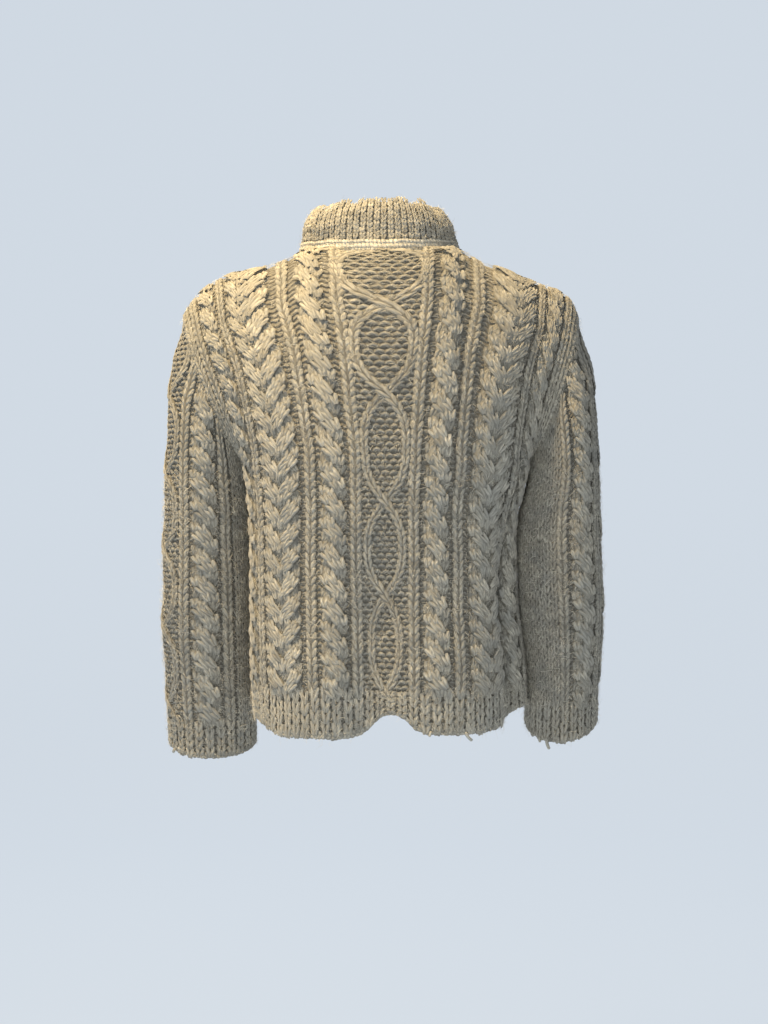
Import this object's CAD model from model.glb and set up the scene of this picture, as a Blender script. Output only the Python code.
"""A cable knit pullover with a mock neck: the knitting laid stitch by stitch over its packed form.

Axes: +Z up, +X towards the wearer's left, -Y towards the wearer's front. Units are metres, apart
from places on the cloth, which are in millimetres across and rows up.

Each piece of cloth is a grid of points with the direction square to it. A thin wall of felted
wool lies a little under that face. Over it the stitches are laid as yarn: a knit stitch is two
legs, and a purl stitch is one low arc. Ropes, ribs and diamonds are the paths that columns
of stitches follow over the cloth, and how high they ride over each other.
"""

from collections import namedtuple

import bpy
import numpy as np
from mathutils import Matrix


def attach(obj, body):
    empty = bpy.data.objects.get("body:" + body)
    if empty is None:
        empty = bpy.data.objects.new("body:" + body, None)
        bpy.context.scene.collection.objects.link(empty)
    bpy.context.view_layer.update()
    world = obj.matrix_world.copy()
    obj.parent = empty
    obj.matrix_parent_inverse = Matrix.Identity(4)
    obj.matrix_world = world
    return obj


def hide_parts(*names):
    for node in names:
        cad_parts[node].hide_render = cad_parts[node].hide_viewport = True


bl_info = {
    "name": "Cable Knit Pullover",
    "version": (1, 0, 0),
    "blender": (4, 5, 0),
    "location": "View3D > Sidebar > Pullover",
    "description": "Lays the stitches, nap and loose ends of a cable knit pullover over its form",
    "category": "Object",
}

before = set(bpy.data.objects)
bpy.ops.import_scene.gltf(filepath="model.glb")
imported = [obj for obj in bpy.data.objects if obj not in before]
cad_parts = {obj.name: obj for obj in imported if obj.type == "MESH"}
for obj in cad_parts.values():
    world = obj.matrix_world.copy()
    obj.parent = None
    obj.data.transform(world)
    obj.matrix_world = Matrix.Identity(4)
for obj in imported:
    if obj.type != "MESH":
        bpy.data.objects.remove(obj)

# ---- driving sizes ---------------------------------------------------------------------------
WALL = 0.006
BACK, FRONT = 1, -1
LEFT, RIGHT = 1, -1
PANEL_NAME = {BACK: "back", FRONT: "front"}
ARM_NAME = {LEFT: "left", RIGHT: "right"}

UNDERARM_HEIGHT = -0.245
HEM_SEAM_HEIGHT = -0.508
CUFF_SEAM_HEIGHT = {LEFT: -0.556, RIGHT: -0.531}

# Powers of the ovals' sines and cosines: 1 is an ellipse, and less is squarer.
BODY_ROUNDNESS = 0.8
SHOULDER_ROUNDNESS = 0.87
# Half width and depth of a typical ring, and height and depth of a typical column, for spacing.
TYPICAL_RING = (0.155, 0.120)
TYPICAL_COLUMN = (0.25, 0.10)

NECK_SHARE = 0.375
NECK_SIDE_HEIGHT = {LEFT: 0.0120, RIGHT: 0.0150}
NECK_MIDDLE_HEIGHT = {BACK: 0.003, FRONT: -0.034}
NECK_DEPTH = {BACK: 0.070, FRONT: 0.084}
NECK_HALF_WIDTH = {LEFT: 0.098, RIGHT: 0.084}
NECK_POWER = 2.2
NECK_ROUNDNESS = 0.8

SHOULDER_TIP = {LEFT: (0.2415, -0.0640), RIGHT: (0.2315, -0.0660)}
ARMHOLE_HALF_LENGTH = 0.095
ARMHOLE_HALF_DEPTH = 0.050
ARMHOLE_BOW = 0.007
ARMHOLE_REACH = 0.35

# ---- tables: one row for each section, fold or wave ------------------------------------------
# Outer face of the body below the armholes: half widths to each side, depths to back and front.
Ring = namedtuple("Ring", "height left right back front")
BODY_RINGS = (
    Ring(-0.570, 0.1560, 0.1680, 0.118, 0.118),
    Ring(-0.530, 0.1572, 0.1688, 0.119, 0.120),
    Ring(-0.470, 0.1585, 0.1656, 0.119, 0.123),
    Ring(-0.410, 0.1588, 0.1585, 0.118, 0.126),
    Ring(-0.350, 0.1590, 0.1562, 0.118, 0.129),
    Ring(-0.300, 0.1608, 0.1572, 0.119, 0.131),
    Ring(-0.270, 0.1640, 0.1645, 0.120, 0.131),
    Ring(-0.245, 0.1675, 0.1705, 0.121, 0.130),
)

# The shoulder seam: its height at each distance out from the middle.
Shoulder = namedtuple("Shoulder", "out left right")
SHOULDER_LINE = (
    Shoulder(0.084, 0.0120, 0.0150),
    Shoulder(0.098, 0.0120, 0.0095),
    Shoulder(0.115, 0.0035, -0.0010),
    Shoulder(0.140, -0.0058, -0.0092),
    Shoulder(0.165, -0.0112, -0.0195),
    Shoulder(0.190, -0.0165, -0.0280),
    Shoulder(0.210, -0.0280, -0.0365),
    Shoulder(0.225, -0.0405, -0.0500),
    Shoulder(0.2315, -0.0475, -0.0660),
    Shoulder(0.2415, -0.0640, -0.0900),
)

# Each sleeve: the outermost line, half width and half depth of its tube, and how far it swings forward.
Tube = namedtuple("Tube", "height outer half_width half_depth forward")
SLEEVE_TUBES = {
    LEFT: (
        Tube(-0.600, 0.2635, 0.0526, 0.0460, 0.046),
        Tube(-0.560, 0.2650, 0.0533, 0.0465, 0.043),
        Tube(-0.520, 0.2670, 0.0539, 0.0475, 0.039),
        Tube(-0.450, 0.2690, 0.0544, 0.0500, 0.031),
        Tube(-0.380, 0.2690, 0.0543, 0.0520, 0.023),
        Tube(-0.310, 0.2670, 0.0527, 0.0535, 0.016),
        Tube(-0.245, 0.2640, 0.0483, 0.0540, 0.010),
        Tube(-0.190, 0.2610, 0.0468, 0.0540, 0.006),
        Tube(-0.140, 0.2570, 0.0460, 0.0525, 0.003),
        Tube(-0.100, 0.2515, 0.0460, 0.0500, 0.001),
        Tube(-0.064, 0.2400, 0.0450, 0.0480, 0.000),
    ),
    RIGHT: (
        Tube(-0.600, 0.2560, 0.0437, 0.0450, 0.024),
        Tube(-0.560, 0.2565, 0.0434, 0.0455, 0.022),
        Tube(-0.520, 0.2575, 0.0436, 0.0465, 0.019),
        Tube(-0.450, 0.2610, 0.0483, 0.0490, 0.011),
        Tube(-0.380, 0.2605, 0.0511, 0.0510, 0.005),
        Tube(-0.310, 0.2580, 0.0501, 0.0530, 0.002),
        Tube(-0.245, 0.2560, 0.0428, 0.0540, 0.001),
        Tube(-0.190, 0.2530, 0.0435, 0.0540, 0.000),
        Tube(-0.140, 0.2490, 0.0440, 0.0525, 0.000),
        Tube(-0.100, 0.2430, 0.0440, 0.0500, 0.000),
        Tube(-0.066, 0.2315, 0.0430, 0.0480, 0.000),
    ),
}
SLEEVE_BLEND = 0.055

# The collar from its seam up to its rim.
Band = namedtuple("Band", "share left right back front")
COLLAR_BANDS = (
    Band(0.00, 0.0980, 0.0840, 0.0700, 0.0840),
    Band(0.14, 0.1002, 0.0862, 0.0712, 0.0855),
    Band(0.32, 0.0990, 0.0846, 0.0698, 0.0825),
    Band(0.60, 0.0975, 0.0810, 0.0690, 0.0790),
    Band(0.84, 0.0925, 0.0745, 0.0655, 0.0740),
    Band(1.00, 0.0855, 0.0680, 0.0605, 0.0700),
)
RIM_HEIGHT = {BACK: 0.0645, FRONT: 0.0310}
RIM_SIDE_HEIGHT = 0.0585
RIM_ROUNDNESS = 0.5
RIM_WAVE = 0.0022
RIM_WAVES = 11

# The free edge of each hem band, across the panel from the wearer's right (-1) to left (+1).
Edge = namedtuple("Edge", "across back front")
HEM_EDGE = (
    Edge(-1.00, -0.5300, -0.5300),
    Edge(-0.84, -0.5310, -0.5350),
    Edge(-0.72, -0.5420, -0.5400),
    Edge(-0.58, -0.5480, -0.5430),
    Edge(-0.40, -0.5520, -0.5440),
    Edge(-0.22, -0.5505, -0.5400),
    Edge(-0.14, -0.5460, -0.5370),
    Edge(-0.09, -0.5350, -0.5360),
    Edge(0.03, -0.5345, -0.5350),
    Edge(0.09, -0.5480, -0.5355),
    Edge(0.18, -0.5555, -0.5370),
    Edge(0.36, -0.5560, -0.5430),
    Edge(0.56, -0.5560, -0.5450),
    Edge(0.70, -0.5470, -0.5410),
    Edge(1.00, -0.5340, -0.5340),
)

# Long soft folds of the body: where across, how wide, how deep (in), and the heights they run between.
FOLD_HEAD = 0.14
FOLD_FOOT = 0.05
FOLD_SIDE_FADE = 0.12
Fold = namedtuple("Fold", "panel across width depth low high")
BODY_FOLDS = (
    Fold(BACK, 0.060, 0.130, 0.0130, -0.620, -0.300),
    Fold(BACK, -0.730, 0.110, 0.0190, -0.620, -0.270),
    Fold(BACK, 0.330, 0.170, -0.0060, -0.620, -0.350),
    Fold(BACK, -0.330, 0.170, -0.0050, -0.620, -0.380),
    Fold(FRONT, 0.200, 0.140, 0.0100, -0.620, -0.330),
    Fold(FRONT, -0.380, 0.130, 0.0110, -0.620, -0.260),
    Fold(FRONT, 0.640, 0.110, 0.0090, -0.560, -0.240),
)

# Soft swells (+) and hollows (-) round the sleeves: side, place round, height, size of each, depth.
Dent = namedtuple("Dent", "arm around height width length depth")
SLEEVE_DENTS = (
    Dent(LEFT, 0.75, -0.330, 0.30, 0.030, -0.0035),
    Dent(LEFT, 0.30, -0.440, 0.35, 0.045, 0.0020),
    Dent(LEFT, -0.60, -0.385, 0.40, 0.028, -0.0045),
    Dent(LEFT, -0.50, -0.520, 0.40, 0.024, -0.0030),
    Dent(RIGHT, 0.70, -0.300, 0.30, 0.032, -0.0035),
    Dent(RIGHT, 0.35, -0.410, 0.35, 0.045, 0.0020),
    Dent(RIGHT, -0.55, -0.370, 0.40, 0.028, -0.0045),
    Dent(RIGHT, -0.60, -0.505, 0.40, 0.024, -0.0030),
)

# The free edge of each cuff, round the sleeve: -1 and 1 underarm, 0 outermost, + at the back.
CuffEdge = namedtuple("CuffEdge", "around left right")
CUFF_EDGE = (
    CuffEdge(-1.00, -0.5830, -0.5570),
    CuffEdge(-0.60, -0.5900, -0.5640),
    CuffEdge(-0.20, -0.5840, -0.5580),
    CuffEdge(0.05, -0.5830, -0.5540),
    CuffEdge(0.28, -0.5920, -0.5660),
    CuffEdge(0.50, -0.5955, -0.5735),
    CuffEdge(0.75, -0.5920, -0.5700),
    CuffEdge(1.00, -0.5830, -0.5570),
)


def smooth_curve(places, values, at):
    """Reads a curve through a table's points: a cubic whose slope at each is that of its neighbours."""
    places = np.asarray(places, float)
    values = np.asarray(values, float)
    slopes = np.gradient(values, places)
    at = np.clip(at, places[0], places[-1])
    k = np.clip(np.searchsorted(places, at) - 1, 0, len(places) - 2)
    step = places[k + 1] - places[k]
    t = (at - places[k]) / step
    start = (2 * t**3 - 3 * t**2 + 1) * values[k] + (t**3 - 2 * t**2 + t) * step * slopes[k]
    end = (3 * t**2 - 2 * t**3) * values[k + 1] + (t**3 - t**2) * step * slopes[k + 1]
    return start + end


def read(table, name, at):
    """One named column of a table, read along the table's first column."""
    return smooth_curve([row[0] for row in table], [getattr(row, name) for row in table], at)


def smoothstep(x):
    """0 below 0, 1 above 1, with level ends."""
    x = np.clip(x, 0.0, 1.0)
    return x * x * (3.0 - 2.0 * x)


def unit(vectors):
    """The same directions, one long."""
    return vectors / np.linalg.norm(vectors, axis=-1, keepdims=True)


def angle_at(share, along, across, roundness):
    """The angle of a quarter superellipse, from 0 at its flat top, after a share of its length."""
    angles = np.linspace(0.0, np.pi / 2, 400)
    x = along * np.sin(angles) ** roundness
    y = across * np.cos(angles) ** roundness
    return np.interp(share, run_along(np.hypot(np.diff(x), np.diff(y)))[0], angles)


def pick(across, left, right):
    """The left side's value where across is positive, and the right side's elsewhere."""
    return np.where(across >= 0, left, right)


def read_sides(table, at, across):
    """A table's left column where across is positive, and its right column elsewhere."""
    return pick(across, read(table, "left", at), read(table, "right", at))


def run_along(steps):
    """How far along a line each of its points is, as a share of it all, and its length."""
    run = np.concatenate([[0.0], np.cumsum(steps)])
    return run / run[-1], run[-1]


# ---- the body --------------------------------------------------------------------------------
def lower_body(panel, across, height):
    """A quarter superellipse to each side: half width at the side seam, depth at the middle."""
    angle = angle_at(np.abs(across), *TYPICAL_RING, BODY_ROUNDNESS)
    width = read_sides(BODY_RINGS, height, across)
    depth = read(BODY_RINGS, PANEL_NAME[panel], height)
    x = np.sign(across) * width * np.sin(angle) ** BODY_ROUNDNESS
    y = panel * depth * np.abs(np.cos(angle)) ** BODY_ROUNDNESS
    seam_fade = smoothstep((1.0 - np.abs(across)) / FOLD_SIDE_FADE)
    for fold in BODY_FOLDS:
        if fold.panel != panel:
            continue
        run = smoothstep((fold.high - height) / FOLD_HEAD) * smoothstep((height - fold.low) / FOLD_FOOT)
        hollow = fold.depth * np.exp(-(((across - fold.across) / fold.width) ** 2)) * run * seam_fade
        x = x - hollow * np.sin(angle) * np.sign(across)
        y = y - panel * hollow * np.cos(angle)
    return np.stack(np.broadcast_arrays(x, y, height), axis=-1)


def neck_edge(panel, across):
    """The seam line under the collar, and the share of the half width that it has reached."""
    r = np.clip(np.abs(across) / NECK_SHARE, 0.0, 1.0)
    q = 0.5 * r + 0.5 * np.sin(np.pi / 2 * r)
    x = np.sign(across) * pick(across, NECK_HALF_WIDTH[LEFT], NECK_HALF_WIDTH[RIGHT]) * q
    y = panel * NECK_DEPTH[panel] * (1.0 - q**NECK_POWER) ** NECK_ROUNDNESS
    side_height = pick(across, NECK_SIDE_HEIGHT[LEFT], NECK_SIDE_HEIGHT[RIGHT])
    z = side_height + (NECK_MIDDLE_HEIGHT[panel] - side_height) * (1.0 - q**2)
    return np.stack([x, y, z], axis=-1), q


def shoulder_seam(across):
    """The line from the side neck point to the shoulder tip, in the plane between front and back."""
    r = np.clip((np.abs(across) - NECK_SHARE) / (1.0 - NECK_SHARE), 0.0, 1.0)
    inner = pick(across, NECK_HALF_WIDTH[LEFT], NECK_HALF_WIDTH[RIGHT])
    outer = pick(across, SHOULDER_TIP[LEFT][0], SHOULDER_TIP[RIGHT][0])
    out = inner + (outer - inner) * r
    height = read_sides(SHOULDER_LINE, out, across)
    return np.stack([np.sign(across) * out, 0.0 * out, height], axis=-1)


def top_edge(panel, across):
    """Shoulder seam, neck edge, shoulder seam."""
    on_neck = (np.abs(across) <= NECK_SHARE)[..., None]
    return np.where(on_neck, neck_edge(panel, across)[0], shoulder_seam(across))


def armhole(panel, arm, share):
    """Half of a leaning ellipse, from the underarm (0) to the shoulder tip (1)."""
    low = float(read(BODY_RINGS, ARM_NAME[arm], UNDERARM_HEIGHT))
    tip_out, tip_height = SHOULDER_TIP[arm]
    turns, run = armhole_run()
    turn = np.interp(share, run, turns)
    rise = 0.5 * (1.0 - np.cos(turn))
    out = low + (tip_out - low) * rise + ARMHOLE_BOW * np.sin(turn) ** 2
    y = panel * ARMHOLE_HALF_DEPTH * np.sin(turn)
    z = UNDERARM_HEIGHT + (tip_height - UNDERARM_HEIGHT) * rise
    return np.stack([arm * out, y, z], axis=-1)


def armhole_run():
    """Angles of the armhole's half ellipse, and the share of its length run at each."""
    turns = np.linspace(0.0, np.pi, 400)
    along = ARMHOLE_HALF_LENGTH * np.diff(np.cos(turns))
    across = ARMHOLE_HALF_DEPTH * np.diff(np.sin(turns))
    return turns, run_along(np.hypot(along, across))[0]


def column_arc(panel, across, share):
    """A knitted column above the underarm: up the panel and over to the top edge, as a quarter oval."""
    foot = lower_body(panel, across, UNDERARM_HEIGHT + 0.0 * across)
    head = top_edge(panel, across)
    angle = angle_at(share, *TYPICAL_COLUMN, SHOULDER_ROUNDNESS)
    climbed = np.sin(angle) ** SHOULDER_ROUNDNESS
    kept = np.abs(np.cos(angle)) ** SHOULDER_ROUNDNESS
    x = foot[..., 0] + (head[..., 0] - foot[..., 0]) * climbed
    y = head[..., 1] + (foot[..., 1] - head[..., 1]) * kept
    z = foot[..., 2] + (head[..., 2] - foot[..., 2]) * climbed
    return np.stack([x, y, z], axis=-1)


def upper_body(panel, across, share):
    """The column arcs, drawn at each side onto the armhole."""
    points = column_arc(panel, across, share)
    for arm in (LEFT, RIGHT):
        pull = np.clip((arm * across - ARMHOLE_REACH) / (1.0 - ARMHOLE_REACH), 0.0, 1.0) ** 2
        edge = column_arc(panel, arm + 0.0 * across, share)
        points = points + pull[..., None] * (armhole(panel, arm, share) - edge)
    return points


def face_directions(points, around):
    """The direction square to a grid of points, from the steps to its neighbours."""
    down = np.gradient(points, axis=0)
    if around:
        along = np.roll(points, -1, axis=1) - np.roll(points, 1, axis=1)
    else:
        along = np.gradient(points, axis=1)
    return unit(np.cross(along, down))


def outward(directions, outer, middle):
    """Turns a whole grid of directions to point away from the line (x, y) = middle."""
    flat = np.zeros_like(outer)
    flat[..., :2] = outer[..., :2] - middle
    return directions if np.mean(np.sum(directions * flat, axis=-1)) > 0 else -directions


def sleeve_point(arm, around, height, start):
    """A point of a sleeve: its oval tube at that height, drawn onto the armhole point near the seam."""
    table = SLEEVE_TUBES[arm]
    half_width = read(table, "half_width", height)
    swell = 0.0 * height
    for dent in SLEEVE_DENTS:
        if dent.arm == arm:
            turn = np.abs((around - dent.around + 1.0) % 2.0 - 1.0) / dent.width
            swell = swell + dent.depth * np.exp(-(turn**2) - ((height - dent.height) / dent.length) ** 2)
    angle = np.pi * around
    x = read(table, "outer", height) - half_width + (half_width + swell) * np.cos(angle)
    y = (read(table, "half_depth", height) + swell) * np.sin(angle) - read(table, "forward", height)
    near = smoothstep((start[..., 2] - height) / SLEEVE_BLEND)[..., None]
    flat = start[..., :2] + (np.stack([arm * x, y], axis=-1) - start[..., :2]) * near
    return np.concatenate([flat, height[..., None]], axis=-1)


def armhole_ring(arm, around):
    """The closed armhole line, through the underarm, the back, the tip and the front."""
    share = 1.0 - np.abs(around)
    back = armhole(BACK, arm, share)
    front = armhole(FRONT, arm, share)
    return np.where((around >= 0)[..., None], back, front)


# ---- the knitting: where every column of stitches runs ---------------------------------------
PANEL_HALF = 240.0
LOWER_ROWS = 42
UPPER_ROWS = 44
PANEL_ROWS = LOWER_ROWS + UPPER_ROWS
SLEEVE_HALF = 160.0
SLEEVE_ROWS = 80
HEM_ROWS = 5.4
CUFF_ROWS = 5.4
RIB_PITCH = 12.6
CUFF_RIBS = 25
COLLAR_RIBS = 60
COLLAR_PITCH = 9.2
COLLAR_ROWS = 11.0
ROLL_ROWS = 2.2
# The smooth roll at the collar's foot: row and height over the cloth of each round, and its tone.
ROLL = ((-0.5, 4.0), (0.55, 4.4), (1.55, 2.2))
ROLL_TONE = 1.5
# Height of a row in mm.
PITCH = 6.3

# Columns to each side of the middle, at millimetres across the panel.
Column = namedtuple("Column", "kind centre width")
PANEL_CHART = (
    Column("ridge", 33.9, 13.0),
    Column("bars", 45.0, 8.0),
    Column("rope", 60.5, 8.2),
    Column("bars", 77.5, 8.0),
    Column("ridge", 87.9, 13.0),
    Column("bars", 97.5, 8.0),
    Column("horseshoe", 128.0, 7.8),
    Column("bars", 159.0, 8.0),
    Column("ridge", 168.1, 13.0),
    Column("bars", 177.5, 8.0),
    Column("rope", 194.5, 8.2),
    Column("bars", 212.0, 8.0),
    Column("ridge", 221.9, 13.0),
    Column("ridge", 234.4, 10.4),
)

# Half the breadth of each kind of column, and how far the fan may widen it.
Breadth = namedtuple("Breadth", "half most")
BREADTHS = {"ridge": Breadth(7.0, 1.0), "rope": Breadth(15.2, 1.2), "horseshoe": Breadth(28.5, 2.0)}

# How far the chart fans out from the middle, at rows up the panel.
Fan = namedtuple("Fan", "row spread")
FAN = (
    Fan(0.0, 0.95),
    Fan(24.0, 1.02),
    Fan(44.0, 0.97),
    Fan(61.0, 1.14),
    Fan(71.0, 1.31),
    Fan(86.0, 1.33),
)
FAN_REACH = 0.54
NECK_REACH = 66.0
# Rows over which stitches sink towards the shoulder seam, how much height is left there, and how far
# past the last row a stitch may go.
SHOULDER_SINK = 4.5
SHOULDER_LEFT = 0.1
PAST_LAST_ROW = 0.15

SLEEVE_CHART = (
    Column("ridge", 38.2, 12.6),
    Column("bars", 48.0, 7.0),
    Column("rope", 64.0, 8.4),
    Column("bars", 80.0, 7.0),
    Column("ridge", 89.7, 12.6),
)
SLEEVE_PLAIN = (100.6, 221.0, 8.2)
SLEEVE_CENTRE = {LEFT: -17.6, RIGHT: -8.8}

# The travelling pair of strands in the middle: the row of each crossing, and how far the strands
# part between it and the next.
Crossing = namedtuple("Crossing", "row half")
PANEL_LATTICE = (
    Crossing(-17.0, 14.0),
    Crossing(0.3, 17.0),
    Crossing(18.1, 20.5),
    Crossing(35.0, 23.0),
    Crossing(54.1, 24.5),
    Crossing(70.0, 31.0),
    Crossing(84.5, 12.0),
    Crossing(100.0, 12.0),
)
SLEEVE_LATTICE = (
    Crossing(-11.0, 25.0),
    Crossing(4.0, 25.0),
    Crossing(19.0, 26.0),
    Crossing(34.0, 26.0),
    Crossing(49.0, 26.0),
    Crossing(64.0, 25.0),
    Crossing(79.0, 24.0),
    Crossing(94.0, 24.0),
)
GROUND_PITCH = 9.4

# Cables: half the sway of a strand, rows in one cross, how far strands ride up, and their crown.
Cable = namedtuple("Cable", "sway rows rise crown base")
ROPE = Cable(7.0, 4.9, 2.5, 2.2, 0.8)
SCALLOP = Cable(7.2, 4.4, 2.4, 2.1, 0.8)

# Rows that one stitch of a cable, ridge or rib stands for, drawn out as it is.
DRAWN = 1.45

# Half the width of the yarn as a share of its column: one stitch wide, side by side, and in a rib.
SINGLE_HALF = 0.235
PAIRED_HALF = 0.29
RIB_HALF = 0.23

# Heights over the cloth in mm: of ridges and travelling strands, of one strand over the other, and
# of the purl bars and the purl ground.
RIDGE_LIFT = 1.7
CROSSING_RISE = 1.0
PURL_LIFT = -2.3
GROUND_LIFT = -0.5
HORSESHOE_OVERLAP = 3.0

# One leg of a knit stitch, the same drawn straight in a cable, and the arc of a purl stitch: across,
# along, up, half width and shade.
Bend = namedtuple("Bend", "across along up half shade")
LEG = (
    Bend(0.04, -0.60, -0.85, 0.55, 0.74),
    Bend(0.17, -0.24, -0.05, 1.00, 0.98),
    Bend(0.33, 0.16, 0.05, 1.05, 1.05),
    Bend(0.47, 0.54, -0.75, 0.65, 0.80),
)
DRAWN_LEG = (
    Bend(0.11, -0.64, -0.42, 0.74, 0.88),
    Bend(0.20, -0.24, 0.00, 1.00, 1.00),
    Bend(0.30, 0.18, 0.00, 1.05, 1.03),
    Bend(0.40, 0.60, -0.38, 0.80, 0.93),
)
ARC = (
    Bend(-0.52, -0.40, -1.05, 0.70, 0.60),
    Bend(-0.27, 0.04, -0.15, 1.00, 0.98),
    Bend(0.00, 0.20, 0.15, 1.10, 1.10),
    Bend(0.27, 0.04, -0.15, 1.00, 0.98),
    Bend(0.52, -0.40, -1.05, 0.70, 0.60),
)
SIDE_SHADE = 0.66

# The tone of a stitch by its height over the cloth in mm: the cloth's valleys hold the darker dust.
LOW_TONE = 0.85
TONE_RISE = 0.052

# Loose ends of yarn and stray hairs: the piece, where each leaves it, how far it goes to the
# viewer's left and down in mm, its height over the cloth and its half thickness in mm.
LooseEnd = namedtuple("LooseEnd", "node across row aside down lift half")
LOOSE_ENDS = (
    LooseEnd("hem_band_back", -88.0, 0.5, -8.0, 9.0, 1.5, 1.8),
    LooseEnd("hem_band_back", -50.0, 0.4, 2.0, 5.5, 1.5, 1.6),
    LooseEnd("cuff_right", 105.0, 0.6, -5.0, 11.0, 1.5, 1.9),
    LooseEnd("cuff_right", 116.0, 0.5, -2.0, 6.0, 1.5, 1.6),
    LooseEnd("cuff_left", -32.0, 0.5, 3.0, 6.0, 1.5, 1.8),
    LooseEnd("cuff_left", -118.0, 5.0, -10.0, -2.0, 2.5, 0.7),
    LooseEnd("back", 43.0, 83.4, -11.0, -2.0, 4.5, 0.4),
    LooseEnd("back", 38.0, 79.0, -9.0, -2.5, 4.5, 0.4),
    LooseEnd("back", -33.0, 80.0, 9.0, -1.5, 4.5, 0.4),
)

CORE_DEPTH = 0.0030
SHORTEST = 1e-9
SEED = 41


# ---- cloths: grids of points over each piece -------------------------------------------------
Cloth = namedtuple("Cloth", "points directions first last rows closed shoulder")


def make_cloth(points, first, last, rows, closed, middle, shoulder=np.inf):
    """Grid of points with rows upwards and columns to the viewer's left, and its outward directions.

    Past the shoulder's distance from the middle, stitches lie flatter towards the top row."""
    if closed:
        directions = face_directions(points[:, :-1], True)
        directions = np.concatenate([directions, directions[:, :1]], axis=1)
    else:
        directions = face_directions(points, False)
    directions = outward(directions, points, middle)
    return Cloth(points, directions, first, last, rows, closed, shoulder)


def fanned(across, row):
    """Shares across the panel after the chart fans out: all of it inside the reach, none at the edge.

    Ridges and ropes keep their breadth, or narrow where the chart is squeezed, and the purl columns
    between them take up the rest."""
    spread = np.interp(row, [fan.row for fan in FAN], [fan.spread for fan in FAN]) - 1.0

    def moved(size):
        left = np.clip((1.0 - size) / (1.0 - FAN_REACH), 0.0, 1.0)
        return size + spread * np.minimum(size, FAN_REACH) * left

    columns = [column for column in PANEL_CHART[:-1] if column.kind in BREADTHS]
    centre = np.array([column.centre for column in columns]) / PANEL_HALF
    half = np.array([BREADTHS[column.kind].half for column in columns]) / PANEL_HALF
    most = np.array([BREADTHS[column.kind].most for column in columns]) * half
    middle = moved(centre)
    inner = middle - np.minimum(middle - moved(centre - half), most)
    outer = middle + np.minimum(moved(centre + half) - middle, most)
    knots = np.stack([centre - half, centre, centre + half], axis=-1).ravel()
    knots = np.concatenate([[0.0], knots, [1.0]])
    places = np.stack([inner, middle, outer], axis=-1).reshape(len(middle), -1)
    places = np.pad(places, ((0, 0), (1, 1)), constant_values=((0.0, 0.0), (0.0, 1.0)))
    size = np.stack([np.interp(np.abs(across[0]), knots, line) for line in places])
    return np.sign(across) * size


def panel_cloth(panel):
    """Level rows from the hem seam to the underarm, then equal shares of each column's arc to the top."""
    level = np.arange(2 * PANEL_ROWS + 1)[:, None]
    across = panel * fanned(np.linspace(-1.0, 1.0, 321)[None, :], 0.5 * level)
    heights = np.linspace(HEM_SEAM_HEIGHT, UNDERARM_HEIGHT, 2 * LOWER_ROWS + 1)[:, None]
    shares = np.linspace(0.0, 1.0, 2 * UPPER_ROWS + 1)[1:, None]
    low = 2 * LOWER_ROWS + 1
    lower = lower_body(panel, across[:low], heights)
    points = np.concatenate([lower, upper_body(panel, across[low:], shares)])
    return make_cloth(points, -PANEL_HALF, PANEL_HALF, PANEL_ROWS, False, np.zeros(2), NECK_REACH)


def hem_cloth(panel):
    """Rows of the hem band, from its waving free edge up to the seam."""
    across = panel * np.linspace(-1.0, 1.0, 321)
    edge = read(HEM_EDGE, PANEL_NAME[panel], across)
    share = np.linspace(0.0, 1.0, 7)[:, None]
    heights = edge[None, :] + (HEM_SEAM_HEIGHT - edge[None, :]) * share
    points = lower_body(panel, np.broadcast_to(across, heights.shape), heights)
    return make_cloth(points, -PANEL_HALF, PANEL_HALF, HEM_ROWS, False, np.zeros(2))


def sleeve_ring(arm, count):
    """Places round a sleeve, going to the viewer's left, and the armhole point above each."""
    around = -arm * np.linspace(-1.0, 1.0, count)
    return around, armhole_ring(arm, around)


def sleeve_grid(arm, around, start, height, rows):
    """The cloth of a sleeve, through the heights of its grid."""
    around = np.broadcast_to(around, height.shape)
    points = sleeve_point(arm, around, height, np.broadcast_to(start, (*height.shape, 3)))
    middle = np.mean(points[..., :2], axis=1, keepdims=True)
    return make_cloth(points, -SLEEVE_HALF, SLEEVE_HALF, rows, True, middle)


def sleeve_cloth(arm):
    """Level rows of a sleeve, from the cuff seam to the height of the shoulder tip."""
    around, start = sleeve_ring(arm, 241)
    heights = np.linspace(CUFF_SEAM_HEIGHT[arm], SHOULDER_TIP[arm][1], 2 * SLEEVE_ROWS + 1)
    height = np.broadcast_to(heights[:, None], (len(heights), len(around)))
    return sleeve_grid(arm, around, start, height, SLEEVE_ROWS)


def sleeve_wall(arm):
    """Rings of a sleeve from the cuff seam to its armhole edge, for the wall of the cloth."""
    around, start = sleeve_ring(arm, 97)
    share = np.linspace(1.0, 0.0, 61)[:, None]
    height = start[None, :, 2] + (CUFF_SEAM_HEIGHT[arm] - start[None, :, 2]) * share
    return sleeve_grid(arm, around, start, height, SLEEVE_ROWS)


def cuff_cloth(arm):
    """Rows of a cuff, from its waving free edge up to the seam."""
    around, start = sleeve_ring(arm, 193)
    edge = read(CUFF_EDGE, ARM_NAME[arm], around)
    share = np.linspace(0.0, 1.0, 7)[:, None]
    height = edge[None, :] + (CUFF_SEAM_HEIGHT[arm] - edge[None, :]) * share
    return sleeve_grid(arm, around, start, height, CUFF_ROWS)


def neck_places(panel, count):
    """Even steps along the neck edge, from the wearer's right to the left."""
    fine = np.linspace(-NECK_SHARE, NECK_SHARE, 800)
    edge = neck_edge(panel, fine)[0]
    run = np.concatenate([[0.0], np.cumsum(np.linalg.norm(np.diff(edge, axis=0), axis=1))])
    return np.interp(np.linspace(0.0, run[-1], count), run, fine)


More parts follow.
